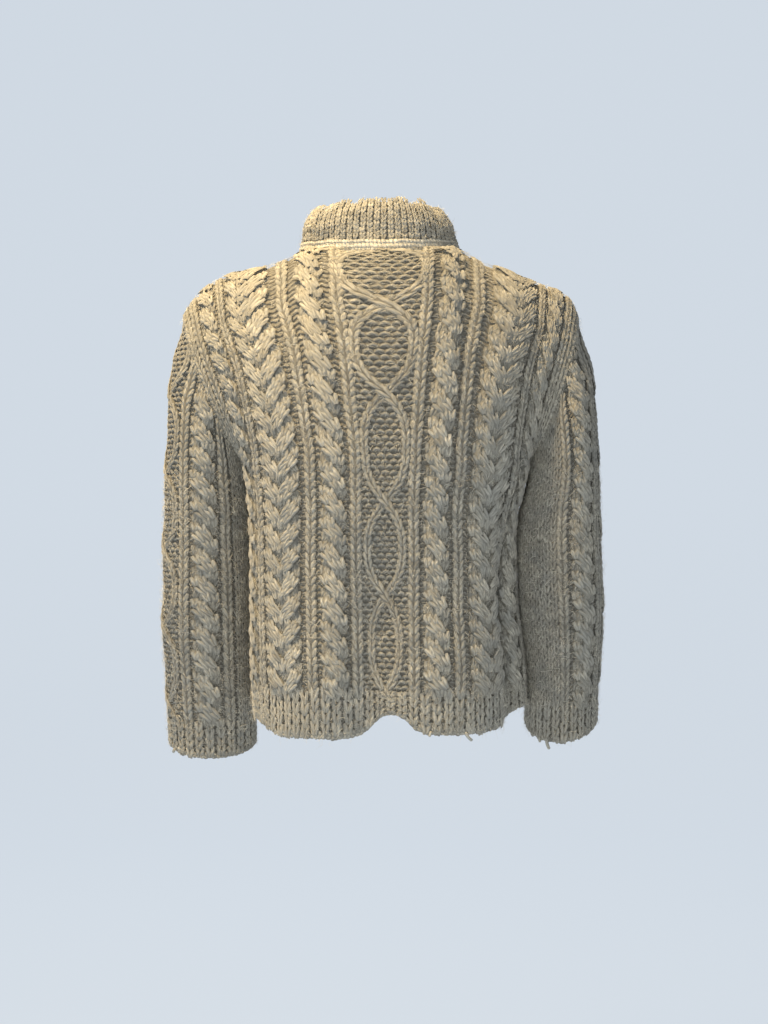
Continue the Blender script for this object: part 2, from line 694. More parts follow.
def collar_cloth():
    """Rings from the neck edge to the waving rim: the neck's oval, wider and narrower by the bands."""
    grids = []
    for panel in (BACK, FRONT):
        across = neck_places(panel, 181)[::panel]
        line, q = neck_edge(panel, across)
        share = np.linspace(0.0, 1.0, 45)[:, None]
        width = read_sides(COLLAR_BANDS, share, across)
        depth = read(COLLAR_BANDS, PANEL_NAME[panel], share)
        roundness = NECK_ROUNDNESS + (RIM_ROUNDNESS - NECK_ROUNDNESS) * np.clip(2.0 * share, 0.0, 1.0)
        x = np.sign(across) * width * q
        y = panel * depth * np.clip(1.0 - q**NECK_POWER, 0.0, 1.0) ** roundness
        rim = RIM_SIDE_HEIGHT + (RIM_HEIGHT[panel] - RIM_SIDE_HEIGHT) * (1.0 - q**2)
        rim = rim + RIM_WAVE * np.sin(RIM_WAVES * np.arctan2(line[:, 1], line[:, 0]))
        z = line[:, 2] + (rim - line[:, 2]) * share
        grids.append(np.stack(np.broadcast_arrays(x, y, z), axis=-1)[:, :-1])
    points = np.concatenate(grids, axis=1)
    points = np.concatenate([points, points[:, :1]], axis=1)
    return make_cloth(points, 0.0, COLLAR_RIBS * COLLAR_PITCH, COLLAR_ROWS, True, np.zeros(2))


def place(cloth, across, row, lift):
    """Points lift mm over the cloth: its points and directions are read between the four nearest."""
    rows, columns = cloth.points.shape[:2]
    x = (across - cloth.first) / (cloth.last - cloth.first) * (columns - 1)
    if cloth.closed:
        x = x % (columns - 1)
    top = cloth.rows + PAST_LAST_ROW if np.isfinite(cloth.shoulder) else np.inf
    y = np.minimum(row, top) / cloth.rows * (rows - 1)
    j = np.clip(np.floor(x).astype(int), 0, columns - 2)
    i = np.clip(np.floor(y).astype(int), 0, rows - 2)
    s, t = (y - i)[..., None], (x - j)[..., None]
    sunk = np.clip((cloth.rows - row) / SHOULDER_SINK, SHOULDER_LEFT, 1.0)
    flatter = np.where(np.abs(across) > cloth.shoulder, sunk, 1.0)
    lift = np.where(lift > 0.0, lift * flatter, lift)

    def between(grid):
        low = grid[i, j] * (1.0 - t) + grid[i, j + 1] * t
        return low * (1.0 - s) + (grid[i + 1, j] * (1.0 - t) + grid[i + 1, j + 1] * t) * s

    return between(cloth.points) + 0.001 * lift[..., None] * unit(between(cloth.directions))


# ---- stitches --------------------------------------------------------------------------------
# Arrays with one value a stitch: place, height over the cloth in mm, lean from upright in radians,
# width and length in mm, half width of the yarn in mm, and tone.
Stitches = namedtuple("Stitches", "across row lift lean wide long half tone")


def stitches(across, row, lift, lean, wide, half, rng, spread=1.0):
    """Stitches of one kind, each a little out of true as hand knitting is."""
    across, row, lift, lean = np.broadcast_arrays(across, row, lift, lean)
    n = across.size
    shake = spread * rng.normal(0.0, 1.0, (6, n))
    return Stitches(
        across.ravel() + 0.22 * shake[0],
        row.ravel() + 0.035 * shake[1],
        lift.ravel() + 0.16 * shake[2],
        lean.ravel() + 0.055 * shake[3],
        np.full(n, wide),
        PITCH / np.cos(lean.ravel()),
        half * (1.0 + 0.07 * shake[4]),
        1.0 + 0.09 * shake[5],
    )


def chosen(s, keep):
    """Some of the stitches."""
    return Stitches(*(part[keep] for part in s))


def lay(cloth, bends, s, flip):
    """Yarn along a bent line for each stitch: a low ridge, three points wide, square to the line.

    The line is scaled by the stitch's width and length, turned by its lean and put on the cloth.
    Its tone falls off towards its sides and its ends, where it goes under its neighbours."""
    bend = np.array(bends)
    x = flip * bend[:, 0] * s.wide[:, None]
    y = bend[:, 1] * s.long[:, None]
    dx, dy = np.gradient(x, axis=1), np.gradient(y, axis=1)
    run = np.hypot(dx, dy)
    half = bend[:, 3] * s.half[:, None]
    side = np.array([-1.0, 0.0, 1.0])
    fall = np.array([0.72, 0.0, 0.72])
    px = x[..., None] + (dy / run * half)[..., None] * side
    py = y[..., None] - (dx / run * half)[..., None] * side
    up = (bend[:, 2] * s.half[:, None])[..., None] - fall * half[..., None]
    lean = s.lean[:, None, None]
    across = s.across[:, None, None] + px * np.cos(lean) + py * np.sin(lean)
    row = s.row[:, None, None] + (py * np.cos(lean) - px * np.sin(lean)) / PITCH
    points = place(cloth, across, row, s.lift[:, None, None] + up)
    along = np.linspace(0.0, 1.0, len(bend))[None, :, None] + 7.3 * (s.across + 3.1 * s.row)[:, None, None]
    uv = np.stack(np.broadcast_arrays(side * 0.5 + 0.5, along + 0.0 * up), axis=-1)
    edge = 1.0 - (1.0 - SIDE_SHADE) * np.abs(side)
    height = np.clip(LOW_TONE + TONE_RISE * s.lift, 0.6, 1.14)
    tone = (s.tone * height)[:, None, None] * bend[None, :, 4, None] * edge
    return points, uv, tone


def strand_path(path, row):
    """Where a path is at each row, and its lean."""
    step = 0.05
    slope = (path(row + step) - path(row - step)) / (2.0 * step)
    return path(row), np.arctan2(slope, PITCH)


# A strand of a cable: where it is at each row, how high, its stitches side by side, their width,
# how much higher its middle is than its sides, and whether its stitches show at a row.
Strand = namedtuple("Strand", "path lift count width crown shows")


def first_rows(row):
    """How much of a cable's height there is at a row: it rises out of the band below it."""
    return np.clip(0.4 + 0.3 * row, 0.4, 1.0)


def strand_half(strand):
    """Half the width of the yarn in a strand: fuller where its stitches lie side by side."""
    return (PAIRED_HALF if strand.count > 1 else SINGLE_HALF) * strand.width


def strand_stitches(strand, rows, rng):
    """Columns of stitches side by side along a strand, highest in its middle."""
    found = []
    for k in range(strand.count):
        row = np.arange(0.5 + 0.5 * k, rows, DRAWN)
        centre, lean = strand_path(strand.path, row)
        offset = (k - 0.5 * (strand.count - 1)) * strand.width
        fall = strand.crown * (2.0 * abs(offset) / (strand.width * strand.count)) ** 2
        across = centre + offset * np.cos(lean)
        shifted = row - offset * np.sin(lean) / PITCH
        lift = strand.lift(row) * first_rows(row) - fall
        s = stitches(across, shifted, lift, lean, strand.width, strand_half(strand), rng)
        found.append(chosen(s._replace(long=DRAWN * s.long), strand.shows(row)))
    return found


def strand_bed(cloth, strand, first, last):
    """The dark body of a strand under its stitches: a band that is high in the middle and goes into
    the cloth on both sides, as the cube of the distance from the middle."""
    row = np.arange(first, last + 0.01, 1.0)
    centre, lean = strand_path(strand.path, row)
    t = np.array([-1.0, -0.72, 0.0, 0.72, 1.0])
    offset = t * (0.5 * strand.count * strand.width + 0.4)
    across = centre[:, None] + offset * np.cos(lean)[:, None]
    shifted = row[:, None] - offset * np.sin(lean)[:, None] / PITCH
    lift = (strand.lift(row) * first_rows(row))[:, None]
    height = lift - 1.0 - (lift + strand.crown + 1.0) * np.abs(t) ** 3
    points = place(cloth, across, shifted, height)[None]
    uv = np.stack(np.broadcast_arrays(0.5 + 0.5 * t, 0.31 * row[:, None]), axis=-1)[None]
    tone = 0.74 - 0.30 * np.abs(t) ** 2 if strand.count > 1 else np.full(len(t), 0.42)
    return points, uv, np.broadcast_to(tone, points.shape[:3])


def swing(x):
    """A sine wave with steeper sides."""
    s = np.sin(x)
    return s * (1.35 - 0.35 * s * s)


def plateau(x):
    """A sine wave with flat tops and abrupt sides."""
    s = np.sin(x)
    return 1.1 * s / np.sqrt(s * s + 0.21)


def rope(centre, cable, width, turn, start):
    """Two strands, two stitches wide, that change places: each sways as a cosine, and rides up and down
    as the sine a quarter turn later, so the one going the cable's way is always on top."""

    def phase(row):
        return np.pi * (row + start) / cable.rows

    found = []
    for sign in (1.0, -1.0):

        def path(row, sign=sign):
            return centre - sign * turn * cable.sway * swing(phase(row) + np.pi / 2)

        def lift(row, sign=sign):
            return cable.base + cable.crown + sign * cable.rise * plateau(phase(row))

        def shows(row, sign=sign):
            return (sign * np.sin(phase(row)) > 0.0) | (np.abs(np.cos(phase(row))) > 0.45)

        found.append(Strand(path, lift, 2, width, cable.crown, shows))
    return found


def single(path, lift, width):
    """A strand one stitch wide that shows at every row."""
    return Strand(path, lift, 1, width, 0.0, lambda row: row > -1.0)


def ridge(centre, width):
    """A strand one stitch wide that runs straight up."""
    return single(lambda row: centre + 0.0 * row, lambda row: RIDGE_LIFT + 0.0 * row, width)


def horseshoe(centre, cable, width):
    """Two mirrored ropes side by side, whose top strands part upwards from the middle."""
    reach = cable.sway + width - HORSESHOE_OVERLAP
    return rope(centre + reach, cable, width, 1.0, 0.0) + rope(centre - reach, cable, width, -1.0, 0.0)


def lattice(centre, crossings, width):
    """Two strands, one stitch wide, that sway apart and cross: half a sine wave from crossing to
    crossing, one over the other in turn."""
    at = np.array([crossing.row for crossing in crossings])
    half = np.array([crossing.half for crossing in crossings])

    def turn(row):
        return np.interp(row, at, np.arange(len(at)))

    found = []
    for sign in (1.0, -1.0):

        def path(row, sign=sign):
            step = turn(row)
            return centre + sign * half[np.floor(step).astype(int)] * swing(np.pi * step)

        def lift(row, sign=sign):
            step = np.pi * turn(row)
            over = np.cos(step) * np.cos(np.pi * np.sin(step) / 2.0)
            return RIDGE_LIFT + sign * CROSSING_RISE * over

        found.append(single(path, lift, width))
    return found


def purl_columns(centres, rows, width, rng):
    """Upright columns of purl arcs."""
    across, row = np.meshgrid(centres, np.arange(rows) + 0.35)
    return [stitches(across, row, PURL_LIFT, 0.0, width, 1.35, rng)]


def chart_stitches(chart, centre, rows, rng):
    """Every column of a chart, to both sides of its middle: purl stitches and strands."""
    purl, strands = [], []
    for column in chart:
        for side in (1.0, -1.0):
            at = centre + side * column.centre
            if column.kind == "ridge":
                strands.append(ridge(at, column.width))
            elif column.kind == "bars":
                purl += purl_columns([at], rows, column.width, rng)
            elif column.kind == "rope":
                strands += rope(at, ROPE, column.width, 1.0, 2.0 if side > 0 else 0.0)
            else:
                strands += horseshoe(at, SCALLOP, column.width)
    return purl, strands


def rib_columns(centres, rows, width, lift, rng):
    """Upright columns of knit stitches as long as those of the ridges."""
    across, row = np.meshgrid(centres, np.arange(1.0, rows, DRAWN))
    row = row + rng.uniform(-0.45, 0.45, len(centres))
    s = stitches(across, row, lift, 0.0, width, RIB_HALF * width, rng)
    return [s._replace(long=DRAWN * s.long)]


def lattice_ground(centre, rows, reach, rng):
    """The purl ground in the middle of a chart: rows of arcs, in bricks."""
    found = []
    count = int(reach // GROUND_PITCH)
    for odd in (0, 1):
        centres = centre + GROUND_PITCH * (np.arange(-count, count + 1) + 0.5 * odd)
        centres = centres[np.abs(centres - centre) < reach]
        across, row = np.meshgrid(centres, np.arange(odd, rows, 2) + 0.35)
        found.append(stitches(across, row, GROUND_LIFT, 0.0, GROUND_PITCH, 1.9, rng))
    return found


def joined(parts):
    """One set of stitches from several."""
    return Stitches(*(np.concatenate([getattr(s, name) for s in parts]) for name in Stitches._fields))


# ---- meshes ----------------------------------------------------------------------------------
def grid_faces(count, along, across):
    """Faces of count separate grids of points, each along by across, turned outwards."""
    first = np.arange(count)[:, None, None] * along * across
    i = np.arange(along - 1)[None, :, None] * across
    j = np.arange(across - 1)[None, None, :]
    a = (first + i + j).ravel()
    return np.stack([a, a + across, a + across + 1, a + 1], axis=-1)


def mesh_from(name, points, faces, uv=None, tone=None):
    """A mesh of quads, with a UV pair and a tone for each point."""
    mesh = bpy.data.meshes.new(name)
    mesh.vertices.add(len(points))
    mesh.vertices.foreach_set("co", points.astype(np.float32).ravel())
    mesh.loops.add(faces.size)
    mesh.loops.foreach_set("vertex_index", faces.astype(np.int32).ravel())
    mesh.polygons.add(len(faces))
    mesh.polygons.foreach_set("loop_start", np.arange(0, faces.size, 4, dtype=np.int32))
    if uv is not None:
        layer = mesh.uv_layers.new(name="yarn")
        layer.data.foreach_set("uv", uv[faces.ravel()].astype(np.float32).ravel())
    if tone is not None:
        attribute = mesh.attributes.new("tone", "FLOAT", "POINT")
        attribute.data.foreach_set("value", tone.astype(np.float32))
    mesh.update(calc_edges=True)
    mesh.shade_smooth()
    return mesh


def put(name, mesh, material):
    """Links a mesh as a piece that rides on the garment."""
    piece = bpy.data.objects.new(name, mesh)
    mesh.materials.append(material)
    bpy.context.scene.collection.objects.link(piece)
    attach(piece, "root")
    return piece


def yarn_piece(name, groups, material):
    """One piece from groups of laid yarn, each points, uv and tone."""
    points, faces, uvs, tones = [], [], [], []
    start = 0
    for grid, uv, tone in groups:
        count, along, across = grid.shape[:3]
        points.append(grid.reshape(-1, 3))
        faces.append(grid_faces(count, along, across) + start)
        uvs.append(uv.reshape(-1, 2))
        tones.append(tone.ravel())
        start += count * along * across
    arrays = (np.concatenate(parts) for parts in (points, faces, uvs, tones))
    return put(name, mesh_from(name, *arrays), material)


def knitted(cloth, knit, purl, drawn=()):
    """Laid yarn for knit and purl stitches, and for those drawn out in cables, on one cloth."""
    groups = [lay(cloth, ARC, joined(purl), 1.0)]
    for parts, leg in ((knit, LEG), (drawn, DRAWN_LEG)):
        if parts:
            s = joined(parts)
            groups += [lay(cloth, leg, s, 1.0), lay(cloth, leg, s, -1.0)]
    return groups


def cloth_wall(name, cloth, columns, rows):
    """A thin closed wall: its outer skin is a little under the cloth's face, its inner skin at the
    wall's full thickness, and a strip joins them along each free edge."""
    x = np.linspace(cloth.first, cloth.last, columns + 1)
    y = np.linspace(0.0, cloth.rows, rows + 1)
    across, row = np.meshgrid(x, y)
    if cloth.closed:
        across, row = across[:, :-1], row[:, :-1]
    outer = place(cloth, across, row, np.full(across.shape, -1000.0 * CORE_DEPTH))
    inner = place(cloth, across, row, np.full(across.shape, -1000.0 * WALL))
    high, wide = across.shape
    index = np.arange(high * wide).reshape(high, wide)
    if cloth.closed:
        index = np.concatenate([index, index[:, :1]], axis=1)
    far = index + high * wide

    def strips(a, b):
        return np.stack([a[:-1], b[:-1], b[1:], a[1:]], axis=-1).reshape(-1, 4)

    def skin(g):
        return np.stack([g[:-1, :-1], g[1:, :-1], g[1:, 1:], g[:-1, 1:]], axis=-1).reshape(-1, 4)

    faces = [skin(index), skin(far)[:, ::-1], strips(far[0], index[0]), strips(index[-1], far[-1])]
    if not cloth.closed:
        faces += [strips(index[:, 0], far[:, 0]), strips(far[:, -1], index[:, -1])]
    uv = np.stack([across / 8.0, row], axis=-1).reshape(-1, 2)
    points = np.concatenate([outer.reshape(-1, 3), inner.reshape(-1, 3)])
    return mesh_from(name, points, np.concatenate(faces), np.concatenate([uv, uv]))


def nap_fibres(cloth, count, length, low, high, rng):
    """Loose hairs: thin bent strips that leave the knitting and stand off it, three points long."""
    across = rng.uniform(cloth.first, cloth.last, count)
    row = rng.uniform(low, high, count)
    turn = rng.uniform(0.0, 2.0 * np.pi, count)
    bend = rng.normal(0.0, 0.9, count)
    size = length * rng.uniform(0.45, 1.35, count)
    rise = rng.gamma(2.0, 0.9, count)
    step = np.array([0.0, 0.5, 1.0])
    angle = turn[:, None] + bend[:, None] * step
    x = across[:, None] + size[:, None] * step * np.cos(angle)
    y = row[:, None] + size[:, None] * step * np.sin(angle) / PITCH
    lift = 0.4 + rise[:, None] * (step * (2.2 - 1.2 * step))
    half = 0.001 * np.array([0.11, 0.095, 0.03])
    centre = place(cloth, x, y, lift)
    run = np.gradient(centre, axis=1)
    side = np.cross(run, rng.normal(0.0, 1.0, (count, 1, 3)))
    side = side / np.maximum(np.linalg.norm(side, axis=-1, keepdims=True), SHORTEST)
    offset = side * half[None, :, None]
    points = np.stack([centre - offset, centre + offset], axis=2)
    uv = np.zeros((*points.shape[:3], 2))
    tone = np.broadcast_to(rng.uniform(0.8, 1.5, (count, 1, 1)), points.shape[:3])
    return points, uv, tone


def loose_ends(node, cloth):
    """The loose ends of one piece: each runs from its place as a parabola that goes on past the edge,
    a thin round tube closed to a point at both ends."""
    found = []
    t = np.array([0.0, 0.15, 0.35, 0.55, 0.75, 0.94, 1.0])
    turn = np.linspace(0.0, 2.0 * np.pi, 7)
    for end in LOOSE_ENDS:
        if end.node != node:
            continue
        across = end.across + end.aside * t**2
        row = end.row - end.down / PITCH * t
        centre = place(cloth, across, row, end.lift * np.sqrt(np.sin(np.pi * (0.1 + 0.6 * t))))
        run = unit(np.gradient(centre, axis=0))
        side = unit(np.cross(run, np.array([0.0, 1.0, 0.0])))
        up = np.cross(side, run)
        radius = 0.001 * end.half * np.array([0.0, 0.9, 1.0, 1.0, 1.0, 0.95, 0.0])[:, None, None]
        ring = side[:, None] * np.cos(turn)[None, :, None] + up[:, None] * np.sin(turn)[None, :, None]
        points = (centre[:, None] + radius * ring)[None]
        uv = np.stack(np.broadcast_arrays(turn / turn[-1], 3.0 * t[:, None]), axis=-1)[None]
        found.append((points, uv, np.full(points.shape[:3], 1.15)))
    return found


# ---- materials -------------------------------------------------------------------------------
class Nodes:
    """A small helper to lay out a material's nodes and links."""

    def __init__(self, name):
        self.material = bpy.data.materials.new(name)
        self.material.use_nodes = True
        self.tree = self.material.node_tree
        self.shader = self.tree.nodes["Principled BSDF"]

    def add(self, kind, inputs=(), **settings):
        node = self.tree.nodes.new(kind)
        for key, value in settings.items():
            setattr(node, key, value)
        for key, value in dict(inputs).items():
            if isinstance(value, bpy.types.NodeSocket):
                self.tree.links.new(value, node.inputs[key])
            else:
                node.inputs[key].default_value = value
        return node

    def set(self, values):
        for key, value in values.items():
            self.shader.inputs[key].default_value = value

    def maths(self, operation, a, b=0.0):
        return self.add("ShaderNodeMath", {0: a, 1: b}, operation=operation).outputs[0]

    def mix(self, share, a, b):
        node = self.add("ShaderNodeMix", {"Factor": share, 6: a, 7: b}, data_type="RGBA")
        return node.outputs[2]

    def fade(self, value, low, high, most):
        """0 below low, rising evenly to most at high."""
        node = self.add("ShaderNodeValToRGB", {"Fac": value})
        first, last = node.color_ramp.elements
        first.position, first.color = low, (0.0, 0.0, 0.0, 1.0)
        last.position, last.color = high, (most, most, most, 1.0)
        return node.outputs[0]

    def noise(self, vector, scale, detail):
        values = {"Vector": vector, "Scale": scale, "Detail": detail}
        return self.add("ShaderNodeTexNoise", values).outputs[0]

    def object_place(self):
        return self.add("ShaderNodeTexCoord").outputs["Object"]

    def toned(self, colour):
        """A colour times the tone that each point carries."""
        tone = self.add("ShaderNodeAttribute", attribute_name="tone").outputs["Fac"]
        return self.add("ShaderNodeVectorMath", {0: colour, "Scale": tone}, operation="SCALE").outputs[0]

    def relief(self, height, strength, distance):
        """Bumps over the whole finish, distance metres high."""
        values = {"Height": height, "Strength": strength, "Distance": distance}
        self.link(self.add("ShaderNodeBump", values).outputs[0], "Normal")

    def link(self, value, socket):
        self.tree.links.new(value, self.shader.inputs[socket])


def rgba(colour, share=1.0):
    """A colour with its alpha, a share as bright."""
    return (*(share * part for part in colour), 1.0)


def wool_finish(nodes):
    """Sheen of fine hairs over a matt body."""
    nodes.set({"Roughness": 0.92, "Specular IOR Level": 0.18, "Sheen Weight": 0.30})
    nodes.set({"Sheen Roughness": 0.55, "Sheen Tint": (0.95, 0.90, 0.80, 1.0)})


def yarn_material(name, settings, share):
    """Melange yarn: hairs of two shades drawn along the yarn, patches of grey over the garment, a
    tone for each stitch, and a slanting ply in its relief."""
    nodes = Nodes(name)
    wool_finish(nodes)
    place_at = nodes.object_place()
    uv = nodes.add("ShaderNodeUVMap", uv_map="yarn").outputs[0]
    stretched = nodes.add("ShaderNodeMapping", {"Vector": uv, "Scale": (2.6, 0.8, 1.0)}).outputs[0]
    hairs = nodes.noise(stretched, 2.4, 3.0)
    patches = nodes.noise(place_at, 46.0, 3.0)
    wash = nodes.noise(place_at, 7.0, 2.0)
    light = rgba(settings.light_wool, share)
    dark = rgba(settings.dark_wool, share)
    grey = rgba(settings.grey_wool, share)
    body = nodes.mix(nodes.fade(hairs, 0.33, 0.66, 1.0), dark, light)
    patched = nodes.mix(nodes.fade(patches, 0.42, 0.66, 0.75), body, grey)
    washed = nodes.mix(nodes.fade(wash, 0.35, 0.70, 0.4), patched, grey)
    nodes.link(nodes.toned(washed), "Base Color")
    split = nodes.add("ShaderNodeSeparateXYZ", {"Vector": uv})
    around = nodes.maths("MULTIPLY", split.outputs[0], 5.5)
    slant = nodes.maths("ADD", around, nodes.maths("MULTIPLY", split.outputs[1], 14.0))
    ply = nodes.maths("MULTIPLY", nodes.maths("SINE", slant), 0.35)
    nodes.relief(nodes.maths("ADD", ply, hairs), 0.55, 0.0006)
    return nodes.material


def core_material(name, settings):
    """Felted wool under the stitches: darker, mottled, with the purl side's rows of arcs in relief."""
    nodes = Nodes(name)
    wool_finish(nodes)
    place_at = nodes.object_place()
    uv = nodes.add("ShaderNodeUVMap", uv_map="yarn").outputs[0]
    fine = nodes.noise(place_at, 420.0, 4.0)
    broad = nodes.noise(place_at, 60.0, 2.0)
    split = nodes.add("ShaderNodeSeparateXYZ", {"Vector": uv})
    rows = nodes.maths("MULTIPLY", split.outputs[1], 2.0 * np.pi)
    columns = nodes.maths("MULTIPLY", split.outputs[0], 2.0 * np.pi)
    arcs = nodes.maths("MULTIPLY", nodes.maths("SINE", columns), 0.9)
    wave = nodes.maths("SINE", nodes.maths("ADD", rows, arcs))
    mottle = nodes.maths("ADD", fine, broad)
    share = nodes.maths("MULTIPLY", nodes.maths("ADD", mottle, nodes.maths("MULTIPLY", wave, 0.25)), 0.5)
    colour = nodes.mix(share, rgba(settings.dark_wool, 0.22), rgba(settings.light_wool, 0.42))
    nodes.link(colour, "Base Color")
    nodes.relief(nodes.maths("ADD", wave, nodes.maths("MULTIPLY", fine, 1.2)), 0.9, 0.0012)
    return nodes.material


def hair_material(name, settings):
    """Loose pale hairs, lighter and darker by their tone."""
    nodes = Nodes(name)
    wool_finish(nodes)
    mottle = nodes.noise(nodes.object_place(), 90.0, 2.0)
    colour = nodes.mix(mottle, rgba(settings.grey_wool), rgba(settings.light_wool, 1.15))
    nodes.link(nodes.toned(colour), "Base Color")
    return nodes.material


def once(name, maker, *arguments):
    """A material by name, made the first time it is asked for."""
    return bpy.data.materials.get(name) or maker(name, *arguments)


# How bright the yarn of each part is, as a share of the settings' colours.
YARN_SHARES = {
    "panel_yarn": 0.86,
    "sleeve_yarn": 0.80,
    "rib_yarn": 0.96,
    "cuff_yarn": 0.84,
    "collar_yarn": 0.99,
}


def yarn_of(name, settings):
    """The yarn of one part, at its own brightness."""
    return once(name, yarn_material, settings, YARN_SHARES[name])


# ---- pieces ----------------------------------------------------------------------------------
# The loose hairs of a piece: how many, their length in mm, and the rows that they lie between.
Fuzz = namedtuple("Fuzz", "count length low high")


def add_cloth(node, cloth, counts, yarn, material, fuzz, settings, rng, wall=None):
    """The wall, the laid yarn and the nap of one piece of cloth, in the place of its CAD node."""
    core_mesh = cloth_wall("cloth_" + node, wall or cloth, *counts)
    core = put("cloth_" + node, core_mesh, once("felted_core", core_material, settings))
    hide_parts(node)
    with_pieces = [yarn_piece("stitches_" + node, yarn, material)]
    if fuzz.count:
        fibres = [nap_fibres(cloth, *fuzz, rng)]
        hairs = once("loose_hairs", hair_material, settings)
        with_pieces.append(yarn_piece("nap_" + node, fibres, hairs))


def neck_roll(rows, rng):
    """Stitches lying along the top of the panel, under the collar: one row in the middle, more and
    more of them towards the sides."""
    found = []
    reach, spacing, length = 65.0, 4.2, 6.0
    for k in range(7):
        ring = np.arange(-reach, reach + 0.1, spacing) + 1.9 * (k % 2)
        ring = ring[np.abs(ring) > 15.0 * np.sqrt(2.0 * k)]
        s = stitches(ring, rows - 0.1 - 0.7 * k, 3.8 - 0.35 * k, 1.55, 6.4, 2.1, rng)
        found.append(s._replace(long=np.full(len(ring), length)))
    return found


def add_panel(node, panel, settings, rng):
    """A panel: chart to both sides of the travelling diamonds on their purl ground."""
    cloth = panel_cloth(panel)
    rows = PANEL_ROWS
    purl, strands = chart_stitches(PANEL_CHART, 0.0, rows, rng)
    strands += lattice(0.0, PANEL_LATTICE, 9.2)
    drawn = neck_roll(rows, rng)
    for strand in strands:
        drawn += strand_stitches(strand, rows, rng)
    purl += lattice_ground(0.0, rows, 28.5, rng)
    yarn = knitted(cloth, [], purl, drawn)
    yarn += [strand_bed(cloth, strand, 0, rows) for strand in strands] + loose_ends(node, cloth)
    fuzz = Fuzz(settings.nap_count, 9.0, 0.0, rows)
    material = yarn_of("panel_yarn", settings)
    add_cloth(node, cloth, (64, 66), yarn, material, fuzz, settings, rng)


def cast_on(first, last, rng):
    """The bumpy free edge of a band: short stitches lying along it."""
    spacing, length = 4.75, 5.0
    ring = np.arange(first + 2.4, last, spacing)
    s = stitches(ring, 0.42, 0.2, 1.35, 5.4, 1.8, rng, spread=1.6)
    return [s._replace(long=np.full(len(ring), length))]


def band_yarn(node, cloth, centres, between, rng):
    """The knitting of a hem or cuff: broad ribs, a purl bar between each, and a bumpy free edge."""
    purl = purl_columns(between, 6, 4.6, rng)
    edge = cast_on(cloth.first, cloth.last, rng)
    ribs = rib_columns(centres, 5.6, 10.2, 1.3, rng)
    return knitted(cloth, edge, purl, ribs) + loose_ends(node, cloth)


def add_hem(node, panel, settings, rng):
    """A hem band: broad ribs that carry on the panel's ridges, with a purl bar between each."""
    cloth = hem_cloth(panel)
    centres = RIB_PITCH * (np.arange(-19, 19) + 0.5)
    yarn = band_yarn(node, cloth, centres, centres[:-1] + 0.5 * RIB_PITCH, rng)
    fuzz = Fuzz(settings.nap_count // 8, 8.0, 0.0, HEM_ROWS)
    material = yarn_of("rib_yarn", settings)
    add_cloth(node, cloth, (96, 6), yarn, material, fuzz, settings, rng)


def under_armhole(arm, across, row):
    """Whether places on a sleeve lie under its armhole edge."""
    around, start = sleeve_ring(arm, 241)
    places = -arm * SLEEVE_HALF * around
    order = np.argsort(places)
    at = (across + SLEEVE_HALF) % (2.0 * SLEEVE_HALF) - SLEEVE_HALF
    edge = np.interp(at, places[order], start[order, 2])
    low, high = CUFF_SEAM_HEIGHT[arm], SHOULDER_TIP[arm][1]
    return low + (high - low) * row / SLEEVE_ROWS < edge - 0.001


def below_armhole(arm, parts):
    """The stitches of a sleeve that lie under its armhole edge."""
    return [chosen(s, under_armhole(arm, s.across, s.row)) for s in parts]


def seam_chain(arm, rng):
    """Stitches in a chain along the armhole edge, each turned the way the edge runs."""
    around, start = sleeve_ring(arm, 101)
    low, high = CUFF_SEAM_HEIGHT[arm], SHOULDER_TIP[arm][1]
    across = -arm * SLEEVE_HALF * around
    row = (start[:, 2] - low) / (high - low) * SLEEVE_ROWS - 0.35
    run_across, run_up = np.diff(across), np.diff(row) * PITCH
    middle = 0.5 * (across[1:] + across[:-1]), 0.5 * (row[1:] + row[:-1])
    s = stitches(*middle, 0.3, np.arctan2(run_across, run_up), 6.4, 1.9, rng)
    return [s._replace(long=1.05 * np.hypot(run_across, run_up))]


def last_row(arm, strand):
    """The last row at which a strand is well under the armhole edge."""
    row = np.arange(SLEEVE_ROWS)
    return row[under_armhole(arm, strand.path(row), row + 1.0)].max()


def add_sleeve(node, arm, settings, rng):
    """A sleeve: a smaller chart round the outside, and plain knitting under the arm."""
    cloth = sleeve_cloth(arm)
    centre = SLEEVE_CENTRE[arm]
    purl, strands = chart_stitches(SLEEVE_CHART, centre, SLEEVE_ROWS, rng)
    strands += lattice(centre, SLEEVE_LATTICE, 9.0)
    drawn = []
    for strand in strands:
        drawn += strand_stitches(strand, SLEEVE_ROWS, rng)
    purl += lattice_ground(centre, SLEEVE_ROWS, 31.0, rng)
    low, high, width = SLEEVE_PLAIN
    drawn += rib_columns(centre + np.arange(low, high, width), SLEEVE_ROWS, width, 0.2, rng)
    yarn = knitted(cloth, seam_chain(arm, rng), below_armhole(arm, purl), below_armhole(arm, drawn))
    yarn += [strand_bed(cloth, strand, 0, last_row(arm, strand)) for strand in strands]
    fuzz = Fuzz(settings.nap_count // 2, 9.0, 0.0, 0.62 * SLEEVE_ROWS)
    material = yarn_of("sleeve_yarn", settings)
    wall = sleeve_wall(arm)
    add_cloth(node, cloth, (96, 60), yarn, material, fuzz, settings, rng, wall)


def add_cuff(node, arm, settings, rng):
    """A cuff: broad ribs round the end of the sleeve."""
    cloth = cuff_cloth(arm)
    first = SLEEVE_CENTRE[arm] + SLEEVE_CHART[0].centre
    centres = first + 2.0 * SLEEVE_HALF / CUFF_RIBS * np.arange(CUFF_RIBS)
    yarn = band_yarn(node, cloth, centres, centres + SLEEVE_HALF / CUFF_RIBS, rng)
    fuzz = Fuzz(settings.nap_count // 16, 8.0, 0.0, CUFF_ROWS)
    material = yarn_of("cuff_yarn", settings)
    add_cloth(node, cloth, (72, 6), yarn, material, fuzz, settings, rng)


